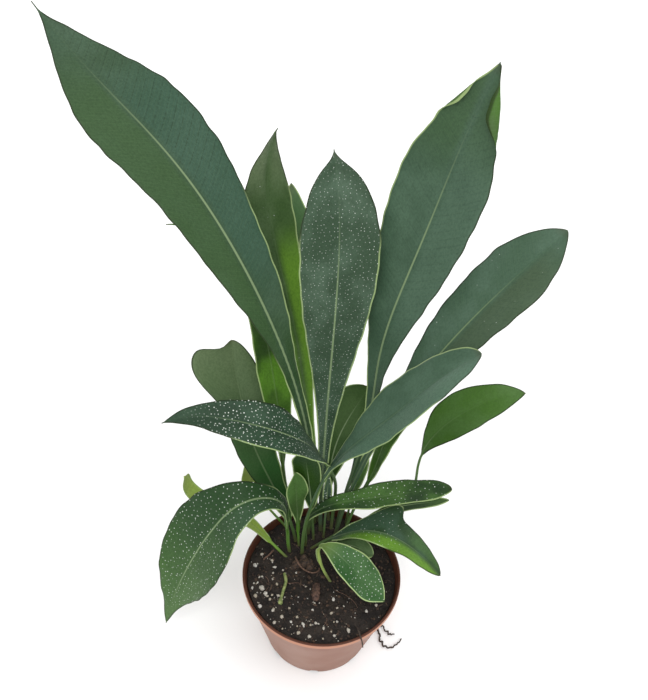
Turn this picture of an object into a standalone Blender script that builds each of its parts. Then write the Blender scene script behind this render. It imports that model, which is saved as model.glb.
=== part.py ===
"""Potted fern: strap-shaped fronds growing from a knobbly crown in a low round nursery pot.

Frame: metres, origin at the centre of the pot's underside, +Z up, the viewer on the -Y side.
Sizes below are in millimetres and are turned into metres when a mesh is made.
"""

import math

import bmesh
import bpy
import numpy as np
from mathutils import Vector, noise

MM = 0.001
GAP = 0.35

POT_HEIGHT = 78.0
POT_BASE_RADIUS = 41.6
POT_RIM_RADIUS = 60.0
POT_WALL = 1.1
POT_STEPS = 56
NOTCHES = 8
NOTCH_WIDTH = 7.0

SOIL = 72.0
SOIL_TOP = 72.6
SOIL_STEPS = 44

BLADE = 0.8
FOOT = 6.0

POT_BROWN = (0.235, 0.115, 0.085)
SOIL_DARK = (0.024, 0.018, 0.015)
CROWN_BROWN = (0.085, 0.048, 0.028)
OLD_GREEN = (0.33, 0.36, 0.16)
STUMP_BROWN = (0.15, 0.075, 0.045)
DRY_TAN = (0.36, 0.25, 0.16)
ROOT_DARK = (0.055, 0.035, 0.026)
LEAF_DARK = (0.030, 0.085, 0.042)
LEAF_BLUE = (0.028, 0.075, 0.046)
LEAF_GREEN = (0.055, 0.150, 0.030)
LEAF_YELLOW = (0.130, 0.215, 0.030)
LEAF_OLIVE = (0.085, 0.150, 0.045)


def frond(name, base, heading, rise, length, width, **more):
    """One frond. heading and rise are angles in degrees at equal steps from the foot to the tip."""
    given = dict(stalk=0.12, widest=0.6, foot=1.4, tip=1.0, wing=0, roll=(0, 0), fold=12)
    given.update(wave=(1.2, 3, 0.0), lobe=None, stations=12, green=LEAF_DARK)
    given.update(more)
    return dict(name=name, base=base, heading=heading, rise=rise, length=length, width=width, **given)


# The fronds. Lengths in mm, angles in degrees: heading 0 is to the right, 90 away from the viewer.
FRONDS = [
    frond(
        "frond_long_left", (-13, 38), (165, 147, 145), (94, 83, 66, 47, 25, 36), 464, 63, stalk=0.10,
        widest=0.76, foot=3.0, wing=8, tip=1.5, roll=(0, -18), wave=(2.0, 4, 0.3), stations=22,
        green=LEAF_BLUE,
    ),
    frond(
        "frond_upright_narrow", (-8.4, 49), (116, 120, 128, 131), (85, 74, 72, 63, 76, 120), 330, 31,
        stalk=0.15, widest=0.76, foot=2.0, wing=9, roll=(-5, -5), tip=1.3, lobe=(1, 0.86, 0.1, 3, 1),
        stations=18, green=LEAF_GREEN,
    ),
    frond(
        "frond_behind_centre", (-5, 51), (113, 104), (58, 68, 67, 46), 271, 25, stalk=0.2, widest=0.8,
        tip=0.8, foot=2.5, wing=7, green=LEAF_OLIVE,
    ),
    frond(
        "frond_centre_dotted", (-3, 42), (120, 88, 109), (82, 88, 78, 77, 46), 317, 50, stalk=0.08,
        widest=0.8, foot=3.2, wing=8, tip=0.7, stations=20, green=LEAF_BLUE,
    ),
    frond(
        "frond_large_right", (10, 46), (47, 42), (83, 76, 90, 70, 71, 63), 381, 61, stalk=0.12,
        widest=0.76, foot=3.8, wing=9, tip=1.15, lobe=(-1, 0.92, 0.08, 2, 1), roll=(0, 12), stations=22,
    ),
    frond(
        "frond_right_dark", (9, 38), (26, 26), (84, 76, 66, 56, 46, 42), 308, 48.5, stalk=0.2, widest=0.8,
        tip=0.72, foot=2.3, roll=(0, 10), stations=18, wing=6,
    ),
    frond(
        "frond_right_glossy", (-16, 18.1), (4, 12), (92, 83, 70.5, 50, 52, 33), 247, 45, stalk=0.2,
        widest=0.68, foot=4.2, wing=4, tip=0.55, roll=(0, -4), stations=18,
    ),
    frond(
        "frond_right_bright", (21, 37), (33, 20, 16), (50, 12, 46, 91, 84, 60, 36, 15, -5), 207, 33,
        stalk=0.44, widest=0.56, tip=0.8, roll=(0, 20), foot=2.6, green=LEAF_GREEN,
    ),
    frond(
        "frond_low_right", (-14, 26), (7, 7), (90, 90, 40, 12, 12, 8, 2), 151, 22, stalk=0.2, widest=0.7,
        foot=0.9, tip=0.5, stations=16, wing=3.5,
    ),
    frond(
        "frond_low_right_under", (-2, 30), (12, 9), (36, 40, 29, 6, 7), 110, 12, stalk=0.3, tip=0.6,
        green=LEAF_OLIVE,
    ),
    frond(
        "frond_forked_right", (-9, 24), (-7, -24), (57, 48, 42, 17, -18, -34, -48), 127, 25, stalk=0.1,
        widest=0.62, tip=0.7, lobe=(1, 0.52, 0.08, 14, 12), stations=18, wing=4, green=LEAF_GREEN,
    ),
    frond(
        "frond_front_small", (7, -4), (-28, -28), (128, 112, 85, -15, -32, -34, -38), 108, 28.4,
        stalk=0.42, widest=0.64, foot=0.6, tip=1.0, stations=16, wing=5, green=LEAF_GREEN,
    ),
    frond(
        "frond_front_behind", (4, 17), (-28, -26), (95, 42, -18), 57, 20, stalk=0.2, tip=0.6, stations=10,
        green=LEAF_OLIVE,
    ),
    frond(
        "frond_low_left", (-26, 20), (193, 204, 184), (82, 88, 76, 15, -45, -60, -67, -72, -76, -81), 256,
        60, stalk=0.06, widest=0.54, foot=4.7, tip=1.9, stations=22, wing=17, fold=13, roll=(-25, -12,
        -70),
    ),
    frond(
        "frond_mid_left", (5.5, 44.4), (269, 245, 222, 187, 194), (115, 93, 69, 65, 62, 43, 22, 10, -24),
        246, 36, stalk=0.42, widest=0.38, foot=0.4, tip=0.85, roll=(0, -15), stations=20, wing=2,
    ),
    frond(
        "frond_forked_left", (-22, 30), (148, 143, 118), (80, 60, 58, 72, 74, 76), 186, 34, stalk=0.09,
        widest=0.75, tip=0.6, lobe=(1, 0.87, 0.085, 16, 20), stations=22, foot=0.85, roll=(-22, -10, 0),
        wing=8,
    ),
    frond(
        "frond_back_left", (-20, 48), (152, 128, 148), (57, 85, 76, 66, 17, -30), 308, 24, stalk=0.15,
        widest=0.42, tip=1.6, stations=18, wing=4, green=LEAF_GREEN,
    ),
    frond(
        "frond_back_centre", (3, 52), (114, 36), (67, 81, 39, 56), 125, 38, stalk=0.2, widest=0.8,
        foot=1.6, tip=0.4, roll=(0, 45), wing=5, green=LEAF_GREEN,
    ),
    frond(
        "frond_back_right", (16, 41), (56, 6), (68, 62, 80, 48, 65), 163, 19, stalk=0.32, tip=0.8,
        foot=0.6, wing=4,
    ),
    frond(
        "frond_yellow_small", (-29.2, 41), (163, 149), (46, 47, 69, 71), 74, 26, stalk=0.3, tip=0.8,
        roll=(0, 0), stations=14, green=LEAF_YELLOW,
    ),
    frond(
        "frond_light_small", (-19.2, 25.8), (165, 165), (87, 86, 87), 90, 17, stalk=0.3, tip=0.8,
        widest=0.66, roll=(-40, -40), wing=4, green=LEAF_OLIVE,
    ),
    frond(
        "frond_narrow_left", (-28, 14.5), (161, 160), (41, 43, 4, 22, 99), 110, 13, stalk=0.15,
        widest=0.9, foot=0.4, tip=0.3, green=LEAF_YELLOW,
    ),
    frond(
        "frond_olive_small", (17, 49), (60, 60), (84, 74, 40), 70, 11, stalk=0.4, tip=0.6, stations=10,
        green=LEAF_OLIVE,
    ),
    frond(
        "frond_folded_small", (-0.2, 35.2), (95, 95), (86, 88, 88), 76, 7, stalk=0.3, tip=0.7, fold=25,
        stations=10,
    ),
    frond(
        "frond_inner_dark", (-8, 32.5), (178, 160), (86, 84, 80), 104, 22, stalk=0.3, widest=0.8,
        foot=1.2, tip=0.5, roll=(-85, -85),
    ),
]

# Bigger pale grains fused into the soil's surface: plan position and size.
GRAINS = [
    (-51, 4, 2.4), (-44, -15, 3.2), (-48, -22, 2.2), (-41, -19, 2.6), (-37, -24, 2.2), (-44, -30, 2.4),
    (-34, -33, 2.4), (-22, -30, 1.8), (-5, -30, 1.7), (-16, -36, 2.0), (-27, -37, 2.4), (-20, -41, 1.8),
    (-32, -42, 2.0), (-11, -42, 2.4), (-2, -40, 1.9), (4, -44, 1.9), (-14, -49, 2.2), (-6, -51, 1.9),
    (10, -20, 2.3), (9, -31, 2.0), (35, -27, 1.9), (22, -44, 2.4), (12, -49, 1.9), (42, -22, 1.9),
    (-36, 4, 2.0), (-47, 14, 2.0), (27, -12, 1.7), (-33, -10, 1.8),
]

# Lumps of the crown that shows in front of the fronds: centre above the soil, half sizes, turn.
CROWN_LUMPS = [
    (-13.5, 9.5, 0.4, 6.5, 4.0, 3.2, 20), (-19.5, 8.0, 0.6, 3.6, 3.4, 3.4, -30),
    (-9.0, 6.5, 0.2, 4.2, 3.0, 2.8, 60), (-14.5, 13.8, 1.0, 3.2, 2.6, 3.0, 0),
    (-21.8, 5.4, -0.2, 2.6, 2.4, 2.4, 0),
]

# Small round pieces: path points as x, y and height above the soil line, then radius at each point.
OLD_STALK = [(-28.5, 1.5, -5.5, 1.5), (-28.0, -1, 0.2, 1.3), (-26.5, -8, 1.6, 1.2), (-27.8, -16, 1.7, 1.1),
             (-28.8, -22, 1.6, 1.2), (-29.2, -25.5, 1.6, 1.8), (-29.3, -27.5, 1.6, 1.2)]
STUMP = [(-3.0, -5.0, -5.0, 2.4), (-3.0, -8.5, -0.5, 2.7), (-3.2, -12.5, 1.6, 2.9), (-3.4, -17.0, 2.2, 3.0),
         (-3.6, -20.5, 2.2, 2.6), (-3.6, -22.5, 2.1, 1.6)]
DRY_ROOT = [(-20.2, 15.5, -4.0, 0.7), (-20.8, 13.2, 2.8, 0.7), (-19.8, 8.4, 6.6, 0.65),
            (-16.0, 3.4, 5.2, 0.6), (-10.0, 1.0, 2.9, 0.6), (-5.0, 1.4, 1.9, 0.55), (-2.0, 4.2, 1.6, 0.5),
            (-2.2, 6.8, 0.0, 0.5), (-3.4, 7.6, -4.0, 0.5)]
THIN_ROOT = [(-38.2, 21.0, -4.0, 0.7), (-38.8, 18.6, 0.9, 0.7), (-41.2, 14.2, 1.8, 0.6),
             (-44.6, 10.8, 1.2, 0.55), (-46.4, 9.2, -3.5, 0.5)]
RIM_ROOT = [(27.0, -38.0, -4.0, 0.6), (27.6, -40.2, 1.6, 0.6), (28.6, -44.6, 6.0, 0.6),
            (30.2, -50.6, 7.4, 0.55), (31.8, -54.4, 5.8, 0.5), (32.6, -56.6, 2.4, 0.4)]
OUTSIDE_ROOT_LONG = [(34.6, -1.2, -68.4, 0.65), (38.6, -1.2, -68.9, 0.65), (43.5, -1.2, -70.2, 0.7),
                     (49.0, -1.6, -71.05, 0.75), (51.6, -6.6, -71.05, 0.65), (52.6, -12.4, -71.0, 0.7),
                     (56.6, -16.6, -71.05, 0.6), (62.2, -15.8, -71.1, 0.6), (66.4, -12.0, -71.1, 0.5),
                     (70.0, -8.6, -71.2, 0.4)]
OUTSIDE_ROOT_SHORT = [(34.8, 1.8, -68.2, 0.6), (38.8, 1.8, -68.8, 0.6), (43.6, 1.9, -70.2, 0.65),
                      (50.4, 2.4, -71.1, 0.6), (54.4, 1.0, -71.1, 0.55), (57.2, -3.0, -71.15, 0.55),
                      (60.4, -5.4, -71.2, 0.45), (63.0, -4.2, -71.25, 0.35)]


def clear_scene():
    for obj in list(bpy.data.objects):
        bpy.data.objects.remove(obj, do_unlink=True)


def material(name, colour, roughness):
    made = bpy.data.materials.new(name)
    made.use_nodes = True
    shader = made.node_tree.nodes["Principled BSDF"]
    shader.inputs["Base Color"].default_value = (*colour, 1.0)
    shader.inputs["Roughness"].default_value = roughness
    made.diffuse_color = (*colour, 1.0)
    return made


def place(name, mesh, coat=None):
    obj = bpy.data.objects.new(name, mesh)
    bpy.context.scene.collection.objects.link(obj)
    if coat:
        mesh.materials.clear()
        mesh.materials.append(coat)
    return obj


def solid(name, points, faces, coat=None):
    """A closed mesh from points in millimetres, with its faces turned outward."""
    points, faces = np.array(points, float), np.array(faces)
    if np.linalg.det(points[faces] - points.mean(axis=0)).sum() < 0:
        faces = faces[:, ::-1]
    mesh = bpy.data.meshes.new(name)
    mesh.from_pydata((points * MM).tolist(), [], faces.tolist())
    return place(name, mesh, coat)


def loft(name, rings, coat=None, straight=()):
    """Skin through rings of points, closed at both ends. straight: the strips split the other way."""
    count = len(rings[0])
    points = np.concatenate(rings)
    faces = []
    for i in range(len(rings) - 1):
        for j in range(count):
            a, b = i * count + j, i * count + (j + 1) % count
            c, d = a + count, b + count
            faces += [(a, d, b), (a, c, d)] if j in straight else [(a, c, b), (b, c, d)]
    for start in (0, (len(rings) - 1) * count):
        for j in range(1, count - 1):
            fan = (start, start + j, start + j + 1)
            faces.append(fan if not start else fan[::-1])
    return solid(name, points, faces, coat)


def take_modifiers(obj):
    """The mesh as its modifiers leave it becomes the object's own."""
    bpy.context.view_layer.update()
    graph = bpy.context.evaluated_depsgraph_get()
    mesh = bpy.data.meshes.new_from_object(obj.evaluated_get(graph))
    obj.modifiers.clear()
    obj.data = mesh
    return obj


def boolean(obj, others, operation):
    """One cut or join with all the others at once, then they are removed."""
    group = bpy.data.collections.new(obj.name + "_" + operation.lower())
    for other in others:
        for owner in list(other.users_collection):
            owner.objects.unlink(other)
        group.objects.link(other)
        other.hide_render = True
        other.display_type = "WIRE"
    bpy.context.scene.collection.children.link(group)
    change = obj.modifiers.new(operation.title(), "BOOLEAN")
    change.operation = operation
    change.operand_type = "COLLECTION"
    change.collection = group
    change.solver = "EXACT"
    take_modifiers(obj)
    for other in others:
        bpy.data.objects.remove(other, do_unlink=True)
    bpy.data.collections.remove(group)
    return obj


def turned(name, profile, steps, coat):
    """A profile of (radius, height) points, open at the axis, turned once round it."""
    mesh = bpy.data.meshes.new(name)
    edges = [(i, i + 1) for i in range(len(profile) - 1)]
    mesh.from_pydata([(r * MM, 0.0, z * MM) for r, z in profile], edges, [])
    obj = place(name, mesh)
    screw = obj.modifiers.new("Turn", "SCREW")
    screw.steps = screw.render_steps = steps
    screw.use_merge_vertices = True
    screw.merge_threshold = 0.00001
    take_modifiers(obj)
    shape = bmesh.new()
    shape.from_mesh(obj.data)
    bmesh.ops.remove_doubles(shape, verts=shape.verts, dist=0.000005)
    bmesh.ops.recalc_face_normals(shape, faces=shape.faces)
    shape.to_mesh(obj.data)
    shape.free()
    obj.data.materials.clear()
    obj.data.materials.append(coat)
    return obj


def pot():
    """Thin plastic pot with a turned-out lip and drainage notches round its bottom corner."""
    slope = (58.0 - POT_BASE_RADIUS) / 71.8
    top_in = POT_BASE_RADIUS + slope * (POT_HEIGHT - 1.6) - POT_WALL
    profile = [
        (0.0, 0.0), (POT_BASE_RADIUS - 1.2, 0.0), (POT_BASE_RADIUS, 1.2),
        (58.0, 73.1), (POT_RIM_RADIUS, 73.7), (POT_RIM_RADIUS, 77.3),
        (POT_RIM_RADIUS - 0.6, POT_HEIGHT), (POT_RIM_RADIUS - 1.5, POT_HEIGHT), (top_in, POT_HEIGHT - 0.5),
        (POT_BASE_RADIUS + slope * 2.0 - POT_WALL, 3.0), (POT_BASE_RADIUS - 2.2, 1.5), (0.0, 1.5),
    ]
    body = turned("pot", profile, POT_STEPS, material("pot plastic", POT_BROWN, 0.5))
    cutters = []
    for i in range(NOTCHES):
        turn = 2 * math.pi * i / NOTCHES
        out = np.array([math.cos(turn), math.sin(turn), 0.0])
        side = np.array([-out[1], out[0], 0.0])
        rings = []
        for r in (37.6, 46.0):
            ring = [(-1, -1.0), (1, -1.0), (1, 2.2), (0.6, 4.0), (-0.6, 4.0), (-1, 2.2)]
            rings.append([out * r + side * s * NOTCH_WIDTH / 2 + np.array([0, 0, z]) for s, z in ring])
        cutters.append(loft("notch cutter", rings))
    return boolean(body, cutters, "DIFFERENCE")


def soil_height(x, y):
    wide = noise.noise(Vector((x / 10, y / 10, 0.3))) * 1.3
    fine = noise.noise(Vector((x / 4.2, y / 4.2, 7.1))) * 0.7
    return SOIL_TOP - 1.2 * (0.5 * x + 0.8 * y) / 57 + wide + fine


def soil():
    """The mix that fills the pot: a lump with a bumpy top, its pale grains fused in."""
    radii = [55.7, 52.0, 47.0, 42.0, 37.0, 32.0, 27.0, 22.0, 17.0, 12.0, 6.5]
    profile = [(0.0, 1.85), (38.6, 1.85), (40.5, 3.2), (55.4, 68.8)] + [(r, SOIL_TOP) for r in radii]
    body = turned("soil", profile + [(0.0, SOIL_TOP)], SOIL_STEPS, material("soil mix", SOIL_DARK, 0.95))
    for point in body.data.vertices:
        if point.co.z > 0.0715:
            point.co.z = soil_height(point.co.x / MM, point.co.y / MM) * MM
    grains = []
    for k, (x, y, size) in enumerate(GRAINS):
        mesh = bpy.data.meshes.new("grain")
        shape = bmesh.new()
        bmesh.ops.create_icosphere(shape, subdivisions=1, radius=size * MM)
        for point in shape.verts:
            point.co.x *= 1.0 + 0.25 * math.sin(2.1 * k)
            point.co.z *= 0.75
            point.co += Vector((x, y, soil_height(x, y) + 0.25 * size)) * MM
        shape.to_mesh(mesh)
        shape.free()
        grains.append(place("grain", mesh))
    return boolean(body, grains, "UNION")


def lump(name, x, y, z, a, b, c, turn, more=0.0):
    mesh = bpy.data.meshes.new(name)
    shape = bmesh.new()
    bmesh.ops.create_icosphere(shape, subdivisions=2, radius=1.0)
    cosine, sine = math.cos(math.radians(turn)), math.sin(math.radians(turn))
    for point in shape.verts:
        p = point.co
        rough = 1.0 + 0.10 * noise.noise(p * 2.3 + Vector((x, y, z)))
        u, v, w = p.x * (a * rough + more), p.y * (b * rough + more), p.z * (c * rough + more)
        point.co = Vector((x + u * cosine - v * sine, y + u * sine + v * cosine, SOIL_TOP + z + w)) * MM
    shape.to_mesh(mesh)
    shape.free()
    return place(name, mesh)


def crown():
    """Knobbly brown rootstock, half sunk in the soil."""
    lumps = [lump("lump", *numbers) for numbers in CROWN_LUMPS]
    body, others = lumps[0], lumps[1:]
    body.name = "rhizome"
    body.data.materials.append(material("rhizome brown", CROWN_BROWN, 0.85))
    return boolean(body, others, "UNION")


def crown_cutters():
    return [lump("crown cutter", *numbers, more=GAP * 1.15) for numbers in CROWN_LUMPS]


def frame_along(points):
    """Tangents and two steady crosswise directions for a path."""
    points = np.array(points, float)
    along = np.gradient(points, axis=0)
    along /= np.linalg.norm(along, axis=1)[:, None]
    first = np.cross(along[0], (0.3, 0.5, 0.81))
    side = first / np.linalg.norm(first)
    sides = []
    for t in along:
        side = side - t * (side @ t)
        side = side / np.linalg.norm(side)
        sides.append(side)
    sides = np.array(sides)
    return along, sides, np.cross(along, sides)


def tube(name, path, coat=None, more=0.0, sides=8):
    """Round piece along (x, y, height over the soil line, radius) points."""
    centres = [(x, y, SOIL + z) for x, y, z, _ in path]
    along, side, over = frame_along(centres)
    rings = []
    for i, centre in enumerate(centres):
        angle = 2 * np.pi * np.arange(sides) / sides
        wide = path[i][3] + more * 1.15
        around = np.cos(angle)[:, None] * side[i] + np.sin(angle)[:, None] * over[i]
        end = along[i] * more * (-1 if i == 0 else 1 if i == len(centres) - 1 else 0)
        rings.append(np.array(centre) + end + around * wide)
    return loft(name, rings, coat)


def blend(values, s):
    """A smooth change through the values, which stand at equal steps along the frond."""
    v = np.array([2 * values[0] - values[1], *values, 2 * values[-1] - values[-2]], float)
    x = s * (len(values) - 1)
    i = np.minimum(x.astype(int), len(values) - 2)
    t = x - i
    a, b, c, d = v[i], v[i + 1], v[i + 2], v[i + 3]
    return b + t / 2 * (c - a + t * (2 * a - 5 * b + 4 * c - d + t * (3 * (b - c) + d - a)))


def spine(f, count, fine=8):
    """Points of the midrib in mm, with the way along it, across it and out of its upper face."""
    s = np.linspace(0, 1, (count - 1) * fine + 1)
    e, a = np.radians(blend(f["rise"], s)), np.radians(blend(f["heading"], s))
    along = np.stack([np.cos(e) * np.cos(a), np.cos(e) * np.sin(a), np.sin(e)], 1)
    steps = (along[1:] + along[:-1]) / 2 * f["length"] / (len(s) - 1)
    points = np.array([*f["base"], SOIL]) + np.concatenate([np.zeros((1, 3)), np.cumsum(steps, 0)])
    across = np.stack([-np.sin(a), np.cos(a), 0 * a], 1)
    out = np.cross(along, across)
    r = np.radians(blend(f["roll"], s))[:, None]
    across, out = across * np.cos(r) + out * np.sin(r), out * np.cos(r) - across * np.sin(r)
    k = slice(None, None, fine)
    return s[k], points[k], along[k], across[k], out[k]


def half_width(f, s):
    t = np.clip((s - f["stalk"]) / (1 - f["stalk"]), 0, 1)
    up = np.sin(np.pi / 2 * np.clip(t / f["widest"], 0, 1)) ** f["foot"]
    x = np.clip((t - f["widest"]) / (1 - f["widest"]), 0, 1)
    blade = f["width"] / 2 * np.where(t < f["widest"], up, np.cos(np.pi / 2 * x) ** f["tip"])
    wing = f["wing"] / 2 * np.clip((s - 0.08) / 0.15, 0, 1) * np.sqrt(1 - x)
    return np.hypot(blade, wing)


def sheet_height(f, s, u, half):
    """How far the blade stands out of the plane through its midrib, from its fold and its waved edge."""
    high, count, phase = f["wave"]
    wave = high * np.abs(u) ** 2 * np.sin(2 * np.pi * (count * s + phase + 0.25 * (u > 0)))
    return np.tan(np.radians(f["fold"])) * np.abs(u) * half * 0.8 + wave * np.minimum(1, half / 8)


def stem(f, s):
    """Radius of the stalk, and of the rib under the blade."""
    return (0.9 + 0.0022 * f["length"]) * (1 - s) ** 0.8 + 0.35 * s


def section(f, s, half, r):
    """12 points (across, out, ahead) of a cross-section: 5 on the upper face, 7 on the lower one."""
    side, place_at, spread, reach, ahead = f["lobe"] or (1, 0.5, 1.0, 0.0, 0.0)
    bump = math.exp(-(abs((s - place_at) / spread) ** (4 if reach > 15 else 2))) if reach else 0.0
    flat = min(1.0, max(0.0, (half - r) / (1.5 * r)))
    blade = []
    for u in (-1.0, -0.5, 0.0, 0.5, 1.0):
        on_lobe = u * side > 0
        w = half + (reach * bump if on_lobe else 0.0)
        slide = ahead * bump * abs(u) ** 1.5 if on_lobe else 0.0
        blade.append((u * w, float(sheet_height(f, s, u, w)), slide))
    slant = math.tan(math.radians(f["fold"])) * 0.8
    under = [(x, z - BLADE, ahead_by) for x, z, ahead_by in blade]
    rib = [(0.9 * r, 0.9 * r * slant - BLADE - 0.35 * r, 0.0), (0.0, -BLADE - 1.1 * r, 0.0)]
    blade += [under[4], under[3], rib[0], rib[1], (-rib[0][0], rib[0][1], 0.0), under[1], under[0]]
    degrees = (180, 135, 90, 45, 0, -24, -52, -72, -90, -108, -128, -156)
    ring = [(r * math.cos(math.radians(d)), r * math.sin(math.radians(d)), 0.0) for d in degrees]
    return (1 - flat) * np.array(ring) + flat * np.array(blade)


def frond_solid(f, coat):
    """A frond: a round stalk that flattens into a waved blade with a rib below."""
    s, points, along, across, out = spine(f, f["stations"])
    halves = np.maximum(half_width(f, s), 0.9)
    rings = []
    down = along[0] + np.array([0.0, 0.0, 1.0])
    foot = points[0] - down / np.linalg.norm(down) * FOOT
    around = section(f, 0.0, 0.0, stem(f, 0.0))
    rings.append(foot + across[0] * around[:, :1] + out[0] * around[:, 1:2])
    for i in range(len(s)):
        q = section(f, s[i], halves[i], stem(f, s[i]))
        rings.append(points[i] + across[i] * q[:, :1] + out[i] * q[:, 1:2] + along[i] * q[:, 2:3])
    return loft(f["name"], rings, coat, straight=(0, 1, 4, 5, 6, 9, 10))


def stalk_cutter(f):
    """The stalk's first stretch, thicker by the gap: it makes the plain hole in the soil."""
    s, points, along, across, out = spine(f, f["stations"])
    down = along[0] + np.array([0.0, 0.0, 1.0])
    foot = points[0] - down / np.linalg.norm(down) * (FOOT + GAP)
    angle = 2 * np.pi * np.arange(8) / 8
    rings = []
    for centre, k in ((foot, 0), (points[0], 0), (points[1], 1)):
        turn = np.cos(angle)[:, None] * across[k] + np.sin(angle)[:, None] * out[k]
        rings.append(centre + turn * (stem(f, s[k]) + GAP) * 1.08)
    return loft("stalk cutter", rings)


def main():
    clear_scene()
    pot()
    ground = soil()
    crown()
    small = [
        ("old_stalk", OLD_STALK, material("cut stalk green", OLD_GREEN, 0.6), 8),
        ("brown_stump", STUMP, material("stump brown", STUMP_BROWN, 0.8), 9),
        ("dry_root", DRY_ROOT, material("dry root tan", DRY_TAN, 0.85), 6),
        ("thin_root", THIN_ROOT, material("thin root tan", DRY_TAN, 0.85), 6),
        ("rim_root", RIM_ROOT, material("rim root brown", ROOT_DARK, 0.85), 6),
        ("outside_root_long", OUTSIDE_ROOT_LONG, material("long root brown", ROOT_DARK, 0.85), 7),
        ("outside_root_short", OUTSIDE_ROOT_SHORT, material("short root brown", ROOT_DARK, 0.85), 7),
    ]
    cutters = crown_cutters()
    for name, path, coat, sides in small:
        tube(name, path, coat, sides=sides)
        cutters.append(tube(name + " cutter", path, more=GAP, sides=sides))
    for f in FRONDS:
        frond_solid(f, material(f["name"].replace("_", " ") + " green", f["green"], 0.42))
        cutters.append(stalk_cutter(f))
    boolean(ground, cutters, "DIFFERENCE")


main()
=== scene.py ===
"""Dressed potted fern: fine fronds, soil with pale grains, crown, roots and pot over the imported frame."""

import math

import bmesh
import bpy
import numpy as np
from mathutils import Matrix, Vector, noise


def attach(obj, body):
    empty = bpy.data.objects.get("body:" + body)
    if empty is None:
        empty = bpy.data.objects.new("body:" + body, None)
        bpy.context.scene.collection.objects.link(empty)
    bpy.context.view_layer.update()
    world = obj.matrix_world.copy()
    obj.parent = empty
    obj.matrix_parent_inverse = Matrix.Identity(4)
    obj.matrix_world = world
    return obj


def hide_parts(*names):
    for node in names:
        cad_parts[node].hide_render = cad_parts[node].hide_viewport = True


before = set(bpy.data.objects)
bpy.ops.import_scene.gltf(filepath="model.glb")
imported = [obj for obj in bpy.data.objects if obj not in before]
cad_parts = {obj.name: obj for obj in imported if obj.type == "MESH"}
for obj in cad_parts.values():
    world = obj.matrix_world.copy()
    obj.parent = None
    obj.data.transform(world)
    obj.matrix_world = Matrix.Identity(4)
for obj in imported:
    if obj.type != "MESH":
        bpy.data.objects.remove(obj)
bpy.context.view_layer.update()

# Sizes in mm, with the pot and the soil line as the solids have them. Stalks go STALK_DEPTH into the
# soil.
MM = 0.001
SOIL = 72.0
SOIL_TOP = 72.6
SOIL_EDGE = 56.3
SOIL_FLOOR = 1.7
SOIL_FLOOR_RADIUS = 38.6
SOIL_DIP = 1.2
POT_HEIGHT = 78.0
POT_RIM_RADIUS = 60.0
POT_SHOULDER_RADIUS = 58.0
POT_BASE_RADIUS = 41.6
POT_CORNER = 1.2
POT_WALL_RISE = 71.8
POT_WALL = 1.1
POT_SLOPE = (POT_SHOULDER_RADIUS - POT_BASE_RADIUS) / POT_WALL_RISE
NOTCHES = 8
NOTCH_WIDTH = 7.0
NOTCH_FROM, NOTCH_TO = 37.6, 46.0
STALK_DEPTH = 5.5

# How fine the pieces are: points over a blade from edge to edge, how much they crowd at the midrib, and
# the mm between the rings along a frond; steps round the pot and the soil, and rings of its top.
ACROSS = 31
CROWDING = 1.6
STEP = 2.0
POT_STEPS = 224
SOIL_STEPS, SOIL_ROWS = 300, 96

# How many of each lie on the soil, and the seed of their draw.
PALE_GRAINS, CRUMBS, BARK_BITS = 170, 900, 150
GRAIN_DRAW = 11

# The camera of the photograph: its place in m, its tilt in degrees, and the focal length and the
# picture's longer side in pixels.
EYE = (-0.0109, -0.3556, 0.650)
PITCH, ROLL = 43.7, 4.3
PHOTO_FOCAL, PHOTO_HEIGHT = 860.0, 700.0
SENSOR = 36.0

# The studio: half the floor's side and its level in mm, the strength of the white surroundings, and the
# suns, each with its direction, strength and width in degrees.
FLOOR_HALF, FLOOR_LEVEL = 6000.0, -0.4
SURROUNDINGS = 0.85
SUNS = [
    ("key", (-0.2, -0.85, 1.0), 1.3, 40), ("fill", (0.9, -0.5, 1.0), 0.7, 60),
    ("top", (0.1, 0.3, 1.0), 0.5, 60),
]


def frond(name, base, heading, rise, length, width, **more):
    """One frond, with the same numbers as its solid. heading and rise change at equal steps to the tip."""
    usual = dict(
        name=name, base=base, heading=heading, rise=rise, length=length, width=width, stalk=0.12,
        widest=0.6, foot=1.4, tip=1.0, wing=0, roll=(0, 0), fold=12, wave=(1.2, 3, 0.0), lobe=None,
    )
    return usual | more


def seen(r, g, b, light=1.55, sheen=0.022):
    """Linear colour of a surface that shows as this screen colour under the studio's light."""
    return tuple(max(0.003, (((c / 255 + 0.055) / 1.055) ** 2.4 - sheen) / light) for c in (r, g, b))


def dimmed(colour, share):
    return tuple(share * c for c in colour)


DEEP, DEEP_WARM, INK = seen(60, 84, 56), seen(60, 88, 44), seen(60, 80, 64)
BLUE, GREY, TEAL = seen(84, 110, 88), seen(90, 114, 94), seen(76, 102, 82)
WARM, MOSS, FRESH = seen(62, 92, 42), seen(84, 112, 66), seen(84, 124, 56)
LIME, PALE, MIST = seen(104, 154, 56), seen(104, 130, 90), seen(114, 145, 124)
# The last colour on the next line is painted light, a yellow-green for thin blades that light shines through.
SLATE, SKY, SPRING, LIT_YELLOW = seen(92, 120, 98), seen(104, 132, 112), seen(94, 132, 72), seen(168, 196, 84)
# The last colour on the next line is painted light, for the lit half of a fold.
# The third colour on the next line is painted light, the lime of blades that light shines through.
DUSK, HAZE, LIT_LIME, LIT_SIDE_GREY = seen(68, 90, 70), seen(94, 118, 98), seen(128, 178, 64), seen(96, 114, 88)
# The last colour on the next line is a painted grey highlight.
LEAF, MINT, NIGHT, HIGHLIGHT_GREY = seen(60, 102, 56), seen(86, 124, 78), seen(56, 84, 54), seen(124, 144, 106)
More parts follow.
